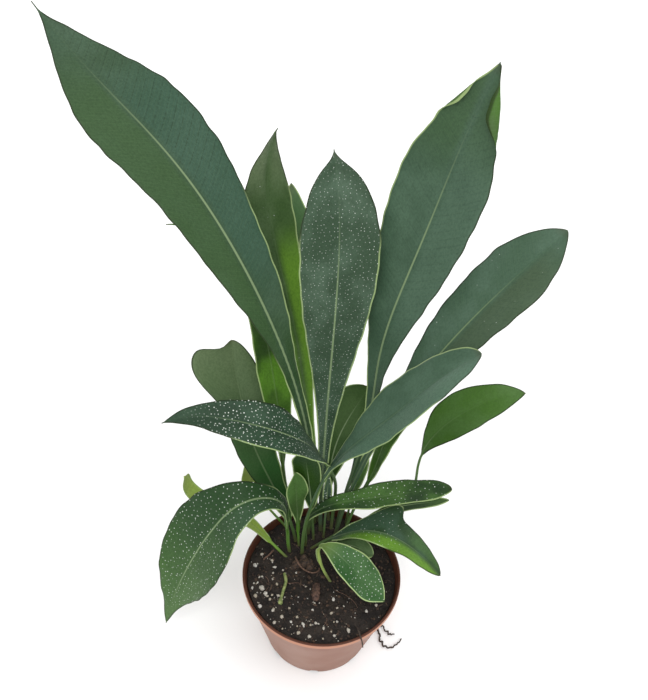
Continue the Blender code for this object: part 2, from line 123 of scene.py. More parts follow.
# The first colour on the next line is painted shade, for margins that turn down.
MARGIN_SHADE, LIT, OCEAN, GRASS = seen(56, 66, 46), seen(190, 215, 120), seen(66, 102, 88), seen(76, 106, 66)
VEIN, RIB, MARGIN = seen(116, 142, 98), seen(146, 168, 126), seen(190, 214, 148)
UNDER, UNDER_DEEP = seen(112, 140, 92), seen(88, 116, 66)
# The first colour on the next line, the usual stalk colour, is darker than the stalks' own pale green:
# painted shade of the crown.
STALK, STALK_FOOT, TIP_BROWN = seen(84, 114, 60), seen(96, 78, 52), seen(84, 66, 46)
DOT = (0.72, 0.77, 0.70)
POT_WALL_PINK, POT_WALL_DULL = (0.295, 0.173, 0.134), (0.25, 0.13, 0.096)
POT_LIP, POT_SALMON = seen(104, 62, 46, 1.8, 0), (0.44, 0.215, 0.14)
SOIL_BLACK, SOIL_BROWN = seen(36, 32, 30, 1.2, 0), seen(55, 48, 43, 1.2, 0)
SOIL_RED, SOIL_TAN = seen(86, 66, 52, 1.2, 0), seen(128, 108, 88, 1.3, 0)
PERLITE, PERLITE_TAN = seen(232, 228, 220, 1.5, 0), seen(198, 184, 160, 1.6, 0)
CROWN_TAN, CROWN_DARK = seen(92, 70, 54, 1.3, 0), seen(44, 34, 28, 1.3, 0)
OLD_PALE, OLD_GREEN = seen(186, 198, 124, 1.7, 0), seen(118, 142, 72, 1.7, 0)
STUMP_TAN, STUMP_BROWN = seen(128, 96, 80, 1.6, 0), seen(70, 50, 43, 1.6, 0)
DRY_TAN, DRY_BROWN = seen(150, 118, 98, 1.6, 0), seen(104, 74, 60, 1.6, 0)
ROOT_BROWN, ROOT_DARK = seen(96, 76, 62, 1.8, 0), seen(56, 46, 40, 1.8, 0)
FLOOR_WHITE = (0.90, 0.90, 0.90)


# The fronds. Lengths in mm, angles in degrees: heading 0 is to the right, 90 away from the viewer.
FRONDS = [
    frond("long_left", (-13, 38), (165, 147, 145), (94, 83, 66, 47, 25, 36), 464, 63, stalk=0.10,
          widest=0.76, foot=3, wing=8, tip=1.5, roll=(0, -18), wave=(2, 4, 0.3)),
    frond("upright_narrow", (-8.4, 49), (116, 120, 128, 131), (85, 74, 72, 63, 76, 120), 330, 31,
          stalk=0.15, widest=0.76, foot=2, wing=9, roll=(-5, -5), tip=1.3, lobe=(1, 0.86, 0.1, 3, 1)),
    frond("behind_centre", (-5, 51), (113, 104), (58, 68, 67, 46), 271, 25, stalk=0.2, widest=0.8,
          tip=0.8, foot=2.5, wing=7),
    frond("centre_dotted", (-3, 42), (120, 88, 109), (82, 88, 78, 77, 46), 317, 50, stalk=0.08,
          widest=0.8, foot=3.2, wing=8, tip=0.7),
    frond("large_right", (10, 46), (47, 42), (83, 76, 90, 70, 71, 63), 381, 61, stalk=0.12, widest=0.76,
          foot=3.8, wing=9, tip=1.15, lobe=(-1, 0.92, 0.08, 2, 1), roll=(0, 12)),
    frond("right_dark", (9, 38), (26, 26), (84, 76, 66, 56, 46, 42), 308, 48.5, stalk=0.2, widest=0.8,
          tip=0.72, foot=2.3, roll=(0, 10), wing=6),
    frond("right_glossy", (-16, 18.1), (4, 12), (92, 83, 70.5, 50, 52, 33), 247, 45, stalk=0.2,
          widest=0.68, foot=4.2, wing=4, tip=0.55, roll=(0, -4)),
    frond("right_bright", (21, 37), (33, 20, 16), (50, 12, 46, 91, 84, 60, 36, 15, -5), 207, 33,
          stalk=0.44, widest=0.56, tip=0.8, roll=(0, 20), foot=2.6),
    frond("low_right", (-14, 26), (7, 7), (90, 90, 40, 12, 12, 8, 2), 151, 22, stalk=0.2, widest=0.7,
          foot=0.9, tip=0.5, wing=3.5),
    frond("low_right_under", (-2, 30), (12, 9), (36, 40, 29, 6, 7), 110, 12, stalk=0.3, tip=0.6),
    frond("forked_right", (-9, 24), (-7, -24), (57, 48, 42, 17, -18, -34, -48), 127, 25, stalk=0.1,
          widest=0.62, tip=0.7, lobe=(1, 0.52, 0.08, 14, 12), wing=4),
    frond("front_small", (7, -4), (-28, -28), (128, 112, 85, -15, -32, -34, -38), 108, 28.4, stalk=0.42,
          widest=0.64, foot=0.6, wing=5),
    frond("front_behind", (4, 17), (-28, -26), (95, 42, -18), 57, 20, stalk=0.2, tip=0.6),
    frond("low_left", (-26, 20), (193, 204, 184), (82, 88, 76, 15, -45, -60, -67, -72, -76, -81), 256,
          60, stalk=0.06, widest=0.54, foot=4.7, tip=1.9, wing=17, fold=13, roll=(-25, -12, -70)),
    frond("mid_left", (5.5, 44.4), (269, 245, 222, 187, 194), (115, 93, 69, 65, 62, 43, 22, 10, -24),
          246, 36, stalk=0.42, widest=0.38, foot=0.4, tip=0.85, roll=(0, -15), wing=2),
    frond("forked_left", (-22, 30), (148, 143, 118), (80, 60, 58, 72, 74, 76), 186, 34, stalk=0.09,
          widest=0.75, tip=0.6, lobe=(1, 0.87, 0.085, 16, 20), foot=0.85, roll=(-22, -10, 0), wing=8),
    frond("back_left", (-20, 48), (152, 128, 148), (57, 85, 76, 66, 17, -30), 308, 24, stalk=0.15,
          widest=0.42, tip=1.6, wing=4),
    frond("back_centre", (3, 52), (114, 36), (67, 81, 39, 56), 125, 38, stalk=0.2, widest=0.8, foot=1.6,
          tip=0.4, roll=(0, 45), wing=5),
    frond("back_right", (16, 41), (56, 6), (68, 62, 80, 48, 65), 163, 19, stalk=0.32, tip=0.8, foot=0.6,
          wing=4),
    frond("yellow_small", (-29.2, 41), (163, 149), (46, 47, 69, 71), 74, 26, stalk=0.3, tip=0.8),
    frond("light_small", (-19.2, 25.8), (165, 165), (87, 86, 87), 90, 17, stalk=0.3, tip=0.8,
          widest=0.66, roll=(-40, -40), wing=4),
    frond("narrow_left", (-28, 14.5), (161, 160), (41, 43, 4, 22, 99), 110, 13, stalk=0.15, widest=0.9,
          foot=0.4, tip=0.3),
    frond("olive_small", (17, 49), (60, 60), (84, 74, 40), 70, 11, stalk=0.4, tip=0.6),
    frond("folded_small", (-0.2, 35.2), (95, 95), (86, 88, 88), 76, 7, stalk=0.3, tip=0.7, fold=25),
    frond("inner_dark", (-8, 32.5), (178, 160), (86, 84, 80), 104, 22, stalk=0.3, widest=0.8, foot=1.2,
          tip=0.5, roll=(-85, -85)),
]


# Colours and surface of each frond. Side 1 is the left half as seen from its foot, -1 the right; from and
# to run from 0 at the foot to 1 at the tip. First come the two colours that its upper face varies between.
# run: how much of that change goes from foot to tip, and turn: where it starts. under: two colours for its
# lower face. The colours by side: side, colour, from, to, strength; some are the frond's own tints, others
# painted light on the lit half of a fold, painted light shining through a thin blade and a painted grey
# highlight. stripes, painted shade along the side veins of a corrugated blade: side or 0 for both, spacing
# in mm, strength, from, to. dots: share, spacing and radius in mm, strength, and where they end. veins: how
# strong the side veins show. faint: how much of the midrib's light line shows on the outer blade. rim: the
# same for the margin. shade: for a side, from where on its margin turns down and gets painted shade.
# corrugate: mm of relief between the side veins. drip: how much the very tip is narrowed. tip_brown: how
# brown it is. curl: side, from, to, share of the half-width where the margin turns up, angle in degrees.
# slot: the library's slot for leaves.
def dress(dark, light, **more):
    usual = dict(
        upper=(dark, light), under=(UNDER, UNDER_DEEP), stalk=STALK, slot="dark", run=0.0, blush=(),
        shade={}, curl=(), corrugate=0.05, drip=0.0, faint=1.0, veins=0.16, rim=0.75, tip_brown=0.3,
        rough=0.5,
    )
    return usual | more


# The darker stalk colours, the usual one and DEEP on fronds at the back, are painted shade of the crown.
LOOKS = dict(
    long_left=dress(
        DEEP, BLUE, run=0.6, slot="blue", corrugate=0.17, veins=0.24, drip=0.7,
        stripes=(-1, 3.4, 0.45, 0.6, 1), shade={1: 0.4, -1: 0.62},
        blush=[(-1, DEEP_WARM, 0, 0.5, 0.5), (1, GRASS, 0.3, 0.95, 0.7), (-1, OCEAN, 0.45, 0.9, 0.5),
               (1, DEEP_WARM, 0, 0.42, 0.5)],
    ),
    # Its lime lower blade is painted light, and its grey tip a painted highlight.
    upright_narrow=dress(
        WARM, PALE, run=0.5, slot="green", faint=0.1, dots=(0.1, 8, 0.25, 0.5), stalk=FRESH, drip=0.5,
        shade={1: 0.8, -1: 0.84},
        blush=[(-1, LIT_LIME, 0.05, 0.78, 0.9), (1, LIT_LIME, 0, 0.6, 0.75), (1, HIGHLIGHT_GREY, 0.8, 1.3, 0.9),
               (-1, HIGHLIGHT_GREY, 0.8, 1.3, 0.7)],
    ),
    behind_centre=dress(PALE, MINT, slot="olive", stalk=DEEP),
    centre_dotted=dress(
        DUSK, HAZE, run=0.1, slot="blue", dots=(0.8, 2.8, 0.20, 0.6), drip=0.8, stalk=TEAL,
        shade={1: 0.82, -1: 0.82},
    ),
    large_right=dress(
        TEAL, SLATE, run=0.3, corrugate=0.09, stalk=DEEP, under=(FRESH, MOSS),
        stripes=(0, 2.9, 0.18, 0.3, 1), shade={-1: 0.3},
        curl=[(1, 0.87, 1, 0.62, 168), (-1, 0.84, 1.03, 0.45, 168)],
        blush=[(-1, MOSS, 0.1, 0.42, 0.6), (-1, SKY, 0.46, 1.2, 0.5), (1, GRASS, 0.78, 1.3, 0.6),
               (-1, GRASS, 0.8, 1.3, 0.5)],
    ),
    # Its lighter grey right half is painted light, on the lit half of its fold.
    right_dark=dress(
        SLATE, SKY, stalk=DEEP, dots=(0.08, 6, 0.28, 0.5), stripes=(0, 2.6, 0.15, 0.3, 1),
        blush=[(-1, LIT_SIDE_GREY, 0.2, 1, 0.7)], shade={1: 0.4, -1: 0.4},
    ),
    right_glossy=dress(
        TEAL, SKY, run=0.5, faint=0.2, rough=0.36, blush=[(-1, MIST, 0.3, 1.2, 0.8)], shade={-1: 0.85},
    ),
    right_bright=dress(FRESH, SPRING, slot="green", faint=0.15, stalk=FRESH, shade={1: 0.5, -1: 0.5}),
    low_right=dress(DEEP, SPRING, faint=0.15, dots=(0.6, 3.8, 0.28, 0.9), shade={1: 0.3}),
    low_right_under=dress(MOSS, DEEP, slot="olive"),
    # The lime of its right half is painted light shining through the blade.
    forked_right=dress(
        DEEP, TEAL, slot="green", faint=0.35, dots=(0.4, 3.6, 0.26, 0.6, 0.75),
        blush=[(1, SPRING, 0.66, 1.2, 0.6), (-1, LIT_LIME, 0.22, 1.2, 0.85)],
        shade={1: 0.55, -1: 0.6},
    ),
    front_small=dress(
        LEAF, MINT, slot="green", faint=0.1, rim=1, stalk=LIT, dots=(0.75, 3.3, 0.28, 0.9),
    ),
    front_behind=dress(MOSS, PALE, slot="olive"),
    low_left=dress(
        NIGHT, SPRING, run=0.85, turn=0.35, stalk=LIME, drip=0.5, dots=(0.85, 3.8, 0.30, 0.85, 0.95),
        shade={-1: 0.3, 1: 0.5},
        blush=[(1, SPRING, 0.62, 1.1, 0.4), (1, SLATE, 0.25, 0.5, 0.5), (-1, NIGHT, 0.2, 0.66, 0.7)],
    ),
    mid_left=dress(
        INK, TEAL, run=0.1, dots=(1, 2.8, 0.30, 1, 0.96), drip=0.4, shade={-1: 0.5, 1: 0.8},
    ),
    # Its tip's grey-green is a painted highlight.
    forked_left=dress(LEAF, HIGHLIGHT_GREY, run=0.9, turn=0.3, faint=0.5, shade={1: 0.3, -1: 0.5}),
    back_left=dress(WARM, LIME, slot="green", faint=0.2, tip_brown=0.6),
    back_centre=dress(MOSS, WARM, slot="green"),
    back_right=dress(FRESH, WARM, stalk=FRESH, faint=0.3),
    # The yellow-greens of both its faces are painted light shining through the thin blade.
    yellow_small=dress(
        LIT, LIT_YELLOW, under=(LIT, LIT_YELLOW), slot="yellow", faint=0.3, stalk=LIME, drip=0.8, tip_brown=0.8,
    ),
    light_small=dress(MOSS, SPRING, slot="olive", faint=0.2, stalk=LIME),
    # Its yellow-greens and its stalk's lime are painted light on a blade that lies in shade.
    narrow_left=dress(LIT_YELLOW, LIT, under=(LIT_YELLOW, LIT), run=0.6, slot="yellow", faint=0.3, stalk=LIT_LIME),
    olive_small=dress(PALE, SPRING, slot="olive", faint=0.2),
    folded_small=dress(GREY, BLUE, dots=(0.5, 3.3, 0.40, 0.8)),
    inner_dark=dress(WARM, DEEP),
)


# Pale grains placed one by one: x, y and size in mm.
GRAINS = [
    (-51, 4, 2.4), (-44, -15, 3.2), (-48, -22, 2.2), (-41, -19, 2.6), (-37, -24, 2.2), (-44, -30, 2.4),
    (-34, -33, 2.4), (-22, -30, 1.8), (-5, -30, 1.7), (-16, -36, 2), (-27, -37, 2.4), (-20, -41, 1.8),
    (-32, -42, 2), (-11, -42, 2.4), (-2, -40, 1.9), (4, -44, 1.9), (-14, -49, 2.2), (-6, -51, 1.9),
    (10, -20, 2.3), (9, -31, 2), (35, -27, 1.9), (22, -44, 2.4), (12, -49, 1.9), (42, -22, 1.9),
    (-36, 4, 2), (-47, 14, 2), (27, -12, 1.7), (-33, -10, 1.8),
]

# x, y and height over the soil's top, three half-sizes in mm, and the turn in degrees.
CROWN_LUMPS = [
    (-13.5, 9.5, 0.4, 6.5, 4, 3.2, 20), (-19.5, 8, 0.6, 3.6, 3.4, 3.4, -30),
    (-9, 6.5, 0.2, 4.2, 3, 2.8, 60), (-14.5, 13.8, 1, 3.2, 2.6, 3, 0),
    (-21.8, 5.4, -0.2, 2.6, 2.4, 2.4, 0),
]

# Small round pieces: path points as x, y and height above the soil line, then radius at each point.
OLD_STALK = [
    (-28.5, 1.5, -5.5, 1.5), (-28, -1, 0.2, 1.3), (-26.5, -8, 1.6, 1.2), (-27.8, -16, 1.7, 1.1),
    (-28.8, -22, 1.6, 1.2), (-29.2, -25.5, 1.6, 1.8), (-29.3, -27.5, 1.6, 1.2),
]
STUMP = [
    (-3, -5, -5, 2.4), (-3, -8.5, -0.5, 2.7), (-3.2, -12.5, 1.6, 2.9), (-3.4, -17, 2.2, 3),
    (-3.6, -20.5, 2.2, 2.6), (-3.6, -22.5, 2.1, 1.6),
]
DRY_ROOT = [
    (-20.2, 15.5, -4, 0.7), (-20.8, 13.2, 2.8, 0.7), (-19.8, 8.4, 6.6, 0.65), (-16, 3.4, 5.2, 0.6),
    (-10, 1, 2.9, 0.6), (-5, 1.4, 1.9, 0.55), (-2, 4.2, 1.6, 0.5), (-2.2, 6.8, 0, 0.5),
    (-3.4, 7.6, -4, 0.5),
]
THIN_ROOT = [
    (-38.2, 21, -4, 0.7), (-38.8, 18.6, 0.9, 0.7), (-41.2, 14.2, 1.8, 0.6), (-44.6, 10.8, 1.2, 0.55),
    (-46.4, 9.2, -3.5, 0.5),
]
RIM_ROOT = [
    (27, -38, -4, 0.6), (27.6, -40.2, 1.6, 0.6), (28.6, -44.6, 6, 0.6), (30.2, -50.6, 7.4, 0.55),
    (31.8, -54.4, 5.8, 0.5), (32.6, -56.6, 2.4, 0.4),
]
OUTSIDE_ROOT_LONG = [
    (34.6, -1.2, -68.4, 0.65), (38.6, -1.2, -68.9, 0.65), (43.5, -1.2, -70.2, 0.7),
    (49, -1.6, -71.05, 0.75), (51.6, -6.6, -71.05, 0.65), (52.6, -12.4, -71, 0.7),
    (56.6, -16.6, -71.05, 0.6), (62.2, -15.8, -71.1, 0.6), (66.4, -12, -71.1, 0.5),
    (70, -8.6, -71.2, 0.4),
]
OUTSIDE_ROOT_SHORT = [
    (34.8, 1.8, -68.2, 0.6), (38.8, 1.8, -68.8, 0.6), (43.6, 1.9, -70.2, 0.65), (50.4, 2.4, -71.1, 0.6),
    (54.4, 1, -71.1, 0.55), (57.2, -3, -71.15, 0.55), (60.4, -5.4, -71.2, 0.45),
    (63, -4.2, -71.25, 0.35),
]
ROOTLETS = [
    [(-30, -6, -1.0, 0.25), (-24, -9, 1.2, 0.25), (-17, -8, 1.0, 0.2), (-11, -12, 1.4, 0.2),
     (-7, -17, -1, 0.15)],
    [(8, -8, -1.0, 0.25), (13, -13, 1.4, 0.25), (19, -15, 0.8, 0.2), (26, -21, 1.1, 0.2),
     (30, -28, -1, 0.15)],
    [(-46, -3, -1.0, 0.25), (-41, -6, 1.6, 0.25), (-39, -12, 1.2, 0.2), (-42, -19, 1.4, 0.2),
     (-47, -24, -1, 0.15)],
    [(4, -24, -1.0, 0.2), (2, -30, 1.2, 0.2), (6, -36, 0.7, 0.2), (4, -43, 1.1, 0.2),
     (8, -48, -1, 0.15)],
]


def blend(values, s):
    """A smooth change through the values, which stand at equal steps along the frond."""
    v = np.array([2 * values[0] - values[1], *values, 2 * values[-1] - values[-2]], float)
    x = s * (len(values) - 1)
    i = np.minimum(x.astype(int), len(values) - 2)
    t = x - i
    a, b, c, d = v[i], v[i + 1], v[i + 2], v[i + 3]
    return b + t / 2 * (c - a + t * (2 * a - 5 * b + 4 * c - d + t * (3 * (b - c) + d - a)))


def spine(f, count):
    """Points of the midrib in mm, with the way along it, across it and out of its upper face."""
    s = np.linspace(0, 1, count)
    e, a = np.radians(blend(f["rise"], s)), np.radians(blend(f["heading"], s))
    along = np.stack([np.cos(e) * np.cos(a), np.cos(e) * np.sin(a), np.sin(e)], 1)
    steps = (along[1:] + along[:-1]) / 2 * f["length"] / (count - 1)
    points = np.array([*f["base"], SOIL]) + np.concatenate([np.zeros((1, 3)), np.cumsum(steps, 0)])
    across = np.stack([-np.sin(a), np.cos(a), 0 * a], 1)
    out = np.cross(along, across)
    r = np.radians(blend(f["roll"], s))[:, None]
    across, out = across * np.cos(r) + out * np.sin(r), out * np.cos(r) - across * np.sin(r)
    return s, points, along, across, out


def half_width(f, s):
    """Half the width of the blade, with the narrow wing down the stalk."""
    t = np.clip((s - f["stalk"]) / (1 - f["stalk"]), 0, 1)
    up = np.sin(np.pi / 2 * np.clip(t / f["widest"], 0, 1)) ** f["foot"]
    x = np.clip((t - f["widest"]) / (1 - f["widest"]), 0, 1)
    blade = f["width"] / 2 * np.where(t < f["widest"], up, np.cos(np.pi / 2 * x) ** f["tip"])
    wing = f["wing"] / 2 * np.clip((s - 0.08) / 0.15, 0, 1) * np.sqrt(1 - x)
    return np.hypot(blade, wing)


def sheet_height(f, s, u, half):
    """How far the blade stands out of the plane through its midrib, from its fold and its waved edge."""
    high, count, phase = f["wave"]
    wave = high * np.abs(u) ** 2 * np.sin(2 * np.pi * (count * s + phase + 0.25 * (u > 0)))
    return np.tan(np.radians(f["fold"])) * np.abs(u) * half * 0.8 + wave * np.minimum(1, half / 8)


def stem(f, s):
    """Radius of the stalk, and of the rib under the blade."""
    return (0.9 + 0.0022 * f["length"]) * (1 - s) ** 0.8 + 0.35 * s


def swell(y, length, phase):
    """A wave of a length in mm along the frond."""
    return np.sin(2 * np.pi * y / length + phase)


def margin_reach(f, s, y, half, u, seed):
    """Half-width at each point over the blade, uneven and with its lobe, and how far the lobe leans on."""
    side, place_at, spread, reach, ahead = f["lobe"] or (1, 0.5, 1.0, 0.0, 0.0)
    blunt = 4 if reach > 15 else 2
    bump = math.exp(-(abs((s - place_at) / spread) ** blunt)) if reach else 0.0
    on = (u * side > 0) * 1.0
    left = u > 0
    scallop = 0.008 * swell(y, 17.0, seed + 2.1 * left) + 0.007 * swell(y, 29.0, 1.7 * seed - 1.3 * left)
    w = (half + reach * bump * on) * (1 + scallop * min(1.0, half / 10))
    return w, ahead * bump * np.abs(u) ** 1.5 * on


def relief(look, y, half, u, x, seed):
    """Heights of the rippled margin and of the swellings between the side veins."""
    left = u > 0
    ripple = 0.34 * swell(y, 23.0, seed + 2.4 * left) + 0.10 * swell(y, 11.0, 2.3 * seed + 0.9 * left)
    lateral = np.cos(2 * np.pi * (y - 0.42 * np.abs(x)) / 6.4 + seed)
    swollen = look["corrugate"] * lateral * (np.abs(u) > 0.06) * (1 - np.abs(u) ** 4)
    return ripple * np.abs(u) ** 3 * min(1.0, half / 9) + swollen


def curled(look, s, u, w, x, h):
    """The same points with the margins turned up and over, and the angle that each is turned by."""
    turned = np.zeros(ACROSS)
    for on_side, first, last, share, angle in look["curl"]:
        k = min(1.0, max(0.0, min(s - first, last - s) / (0.45 * (last - first))))
        k = k * k * (3 - 2 * k)
        if k <= 0:
            continue
        beyond = np.maximum(0.0, (np.abs(u) - share) / (1 - share)) * (u * on_side > 0)
        span = (1 - share) * w
        bend = math.radians(angle) * k * beyond
        over = share * w + span * ((1 - k) * beyond + k * np.sin(bend))
        x = np.where(beyond > 0, np.sign(u) * over, x)
        h = h + np.where(beyond > 0, 0.3 * span * (1 - np.cos(bend)) + 0.5 * k * beyond, 0.0)
        turned = turned + bend * np.sign(u)
    return x, h, turned


def blade_ring(x, h, slide, turned, u, r):
    """Points round a blade: the upper face, a margin, the lower face with its rib, the other margin."""
    thick = 0.34 + 0.46 * np.exp(-((x / max(1.5 * r, 0.1)) ** 2)) + 0.10 * (1 - np.abs(u))
    rib = np.sqrt(np.maximum(0.0, 1 - (x / (1.25 * r)) ** 2))
    ridge = 0.22 * r * np.exp(-((x / (0.55 * r)) ** 2))
    groove = 0.10 * r * np.exp(-(((np.abs(x) / r - 1.4) / 0.5) ** 2))
    top = h + ridge - groove
    # The lower face of a curled margin lies behind it, not below it.
    nx, nz = -np.sin(turned), np.cos(turned)
    under_x = x - nx * thick * (rib <= 0)
    under_z = np.where(rib > 0, h - thick - 1.05 * r * rib, h - nz * thick)
    margins = []
    for i in (-1, 0):
        middle = (x[i] * 1.004 + under_x[i]) / 2 + 0.12 * np.sign(u[i]) * nz[i]
        margins.append([[middle, (top[i] + under_z[i]) / 2, slide[i]]])
    upper, lower = np.stack([x, top, slide], 1), np.stack([under_x, under_z, slide], 1)[::-1]
    return np.concatenate([upper, margins[0], lower, margins[1]])


def fine_section(f, look, s, y, half, r, seed):
    """Ring of points (across, out, ahead) with (x, edge distance, under) for each, for one station."""
    flat = min(1.0, max(0.0, (half - r) / (1.5 * r)))
    q = np.linspace(-1, 1, ACROSS)
    u = np.sign(q) * np.abs(q) ** CROWDING
    w, slide = margin_reach(f, s, y, half, u, seed)
    h = sheet_height(f, s, u, w) + relief(look, y, half, u, u * w, seed)
    x, h, turned = curled(look, s, u, w, u * w, h)
    angles = np.radians(np.concatenate([180 - 90 * (q + 1), [-1], -2 - 88 * (1 + q), [-179]]))
    ring = np.stack([r * np.cos(angles), r * np.sin(angles), 0 * angles], 1)
    shape = (1 - flat) * ring + flat * blade_ring(x, h, slide, turned, u, r)
    edge = (1 - np.abs(u)) * w
    upper, lower = np.stack([x, edge, 0 * x], 1), np.stack([x, edge, 0 * x + 1], 1)[::-1]
    marks = np.concatenate([upper, [[x[-1], 0, 0.5]], lower, [[x[0], 0, 0.5]]])
    marks[:, 1] += (1 - flat) * 6
    return shape, marks


def fine_frond(f, look, seed):
    """A fine frond: the solid's own midrib and outline, with its ribs, curled and rippled margins."""
    n = int(f["length"] / STEP) + 1
    # Of four times as many stations every fourth is kept, and all of them at the very tip.
    kept = [*range(0, 4 * n - 3, 4), *range(4 * n - 3, 4 * n + 1)]
    s, points, along, across, out = [values[kept] for values in spine(f, 4 * n + 1)]
    halves = half_width(f, s) * (1 - look["drip"] * np.exp(-(((1 - s) / 0.03) ** 2)))
    halves = np.maximum(halves, 0.35 + 0.55 * np.clip((1 - s) / 0.03, 0, 1))
    down = along[0] + np.array([0.0, 0.0, 1.0])
    foot = points[0] - down / np.linalg.norm(down) * STALK_DEPTH
    rings, marks = [], []
    for i in range(-1, len(s)):
        k = max(i, 0)
        r, half = stem(f, s[k]), halves[k] if i >= 0 else 0.0
        shape, mark = fine_section(f, look, s[k], s[k] * f["length"], half, r, seed)
        centre = foot if i < 0 else points[k]
        rings.append(centre + shape @ np.stack([across[k], out[k], along[k]]))
        marks.append(np.column_stack([mark, np.full(len(mark), s[k]), np.full(len(mark), r)]))
    mesh = mesh_of("leaf_" + f["name"], np.concatenate(rings), tube_faces(len(rings), len(rings[0])))
    x, edge, under, s_here, rib = np.concatenate(marks).T
    mark_points(mesh, "leaf", x, s_here * f["length"], edge)
    mark_points(mesh, "leaf_more", s_here, rib, under)
    return smooth_piece(mesh)


def tube_faces(rings, n, start=0):
    """Quads between rings of n points, which follow each other from start, then a flat face at each end."""
    faces = []
    for i in range(rings - 1):
        row = start + i * n
        for k in range(n):
            a, b = row + k, row + (k + 1) % n
            faces.append((a, a + n, b + n, b))
    last = start + rings * n - 1
    return faces + [tuple(range(start, start + n)), tuple(range(last, last - n, -1))]


def mesh_of(name, points, faces):
    """A mesh from points in mm."""
    mesh = bpy.data.meshes.new(name)
    mesh.from_pydata((np.array(points) * MM).tolist(), [], faces)
    return mesh


def mark_points(mesh, name, *values):
    """Three values for each point, which the materials read by name."""
    made = mesh.attributes.new(name, "FLOAT_VECTOR", "POINT")
    made.data.foreach_set("vector", np.column_stack(values).astype(np.float32).ravel())


def linked(name, data):
    obj = bpy.data.objects.new(name, data)
    bpy.context.scene.collection.objects.link(obj)
    return obj


def smooth_piece(mesh, turn_outward=True):
    """A piece of the scene with smooth faces, named like its mesh."""
    if turn_outward:
        shape = bmesh.new()
        shape.from_mesh(mesh)
        bmesh.ops.recalc_face_normals(shape, faces=shape.faces)
        shape.to_mesh(mesh)
        shape.free()
    mesh.shade_smooth()
    return linked(mesh.name, mesh)


class Nodes:
    """Short calls for building a material's nodes."""

    def __init__(self, name):
        self.material = bpy.data.materials.new(name)
        self.material.use_nodes = True
        self.tree = self.material.node_tree
        self.surface = self.tree.nodes["Principled BSDF"].inputs

    def put(self, kind, inputs=(), **settings):
        node = self.tree.nodes.new("ShaderNode" + kind)
        for key, value in settings.items():
            setattr(node, key, value)
        for key, value in dict(inputs).items():
            self.join(value, node.inputs[key])
        return node

    def join(self, value, socket):
        if isinstance(value, bpy.types.NodeSocket):
            self.tree.links.new(value, socket)
        elif isinstance(value, (tuple, list)) and socket.type == "RGBA":
            socket.default_value = (*value[:3], 1.0)
        else:
            socket.default_value = value

    def math(self, operation, *values):
        return self.put("Math", enumerate(values), operation=operation).outputs[0]

    def plus(self, a, b):
        return self.math("ADD", a, b)

    def minus(self, a, b):
        return self.math("SUBTRACT", a, b)

    def times(self, a, *others):
        for b in others:
            a = self.math("MULTIPLY", a, b)
        return a

    def between(self, value, low, high, start=0.0, end=1.0):
        """start below low, end above high, smoothly between them; low may be above high."""
        inputs = {0: value, 1: low, 2: high, 3: start, 4: end}
        return self.put("MapRange", inputs, interpolation_type="SMOOTHSTEP").outputs[0]

    def mix(self, share, a, b):
        """Colour a, with this share of b."""
        return self.put("Mix", {0: share, 6: a, 7: b}, data_type="RGBA").outputs[2]

    def noise(self, vector, scale, detail=2.0, rough=0.5):
        inputs = {"Vector": vector, "Scale": scale, "Detail": detail, "Roughness": rough}
        return self.put("TexNoise", inputs).outputs[0]

    def cells(self, vector, scale, random=1.0, **settings):
        inputs = {"Vector": vector, "Scale": scale, "Randomness": random}
        return self.put("TexVoronoi", inputs, **settings).outputs

    def place(self):
        """The place on the object, and its three parts."""
        where = self.put("NewGeometry").outputs["Position"]
        return where, self.put("SeparateXYZ", {0: where}).outputs

    def attribute(self, name):
        """A vector that the mesh holds for each point, and its three parts."""
        vector = self.put("Attribute", attribute_name=name).outputs["Vector"]
        return vector, *self.put("SeparateXYZ", {0: vector}).outputs

    def bump(self, height, strength, distance):
        node = self.put("Bump", {"Height": height, "Strength": strength, "Distance": distance})
        self.join(node.outputs[0], self.surface["Normal"])

    def finish(self, colour, rough, shine=0.5):
        self.join(colour, self.surface["Base Color"])
        self.join(rough, self.surface["Roughness"])
        self.join(shine, self.surface["Specular IOR Level"])
        return self.material


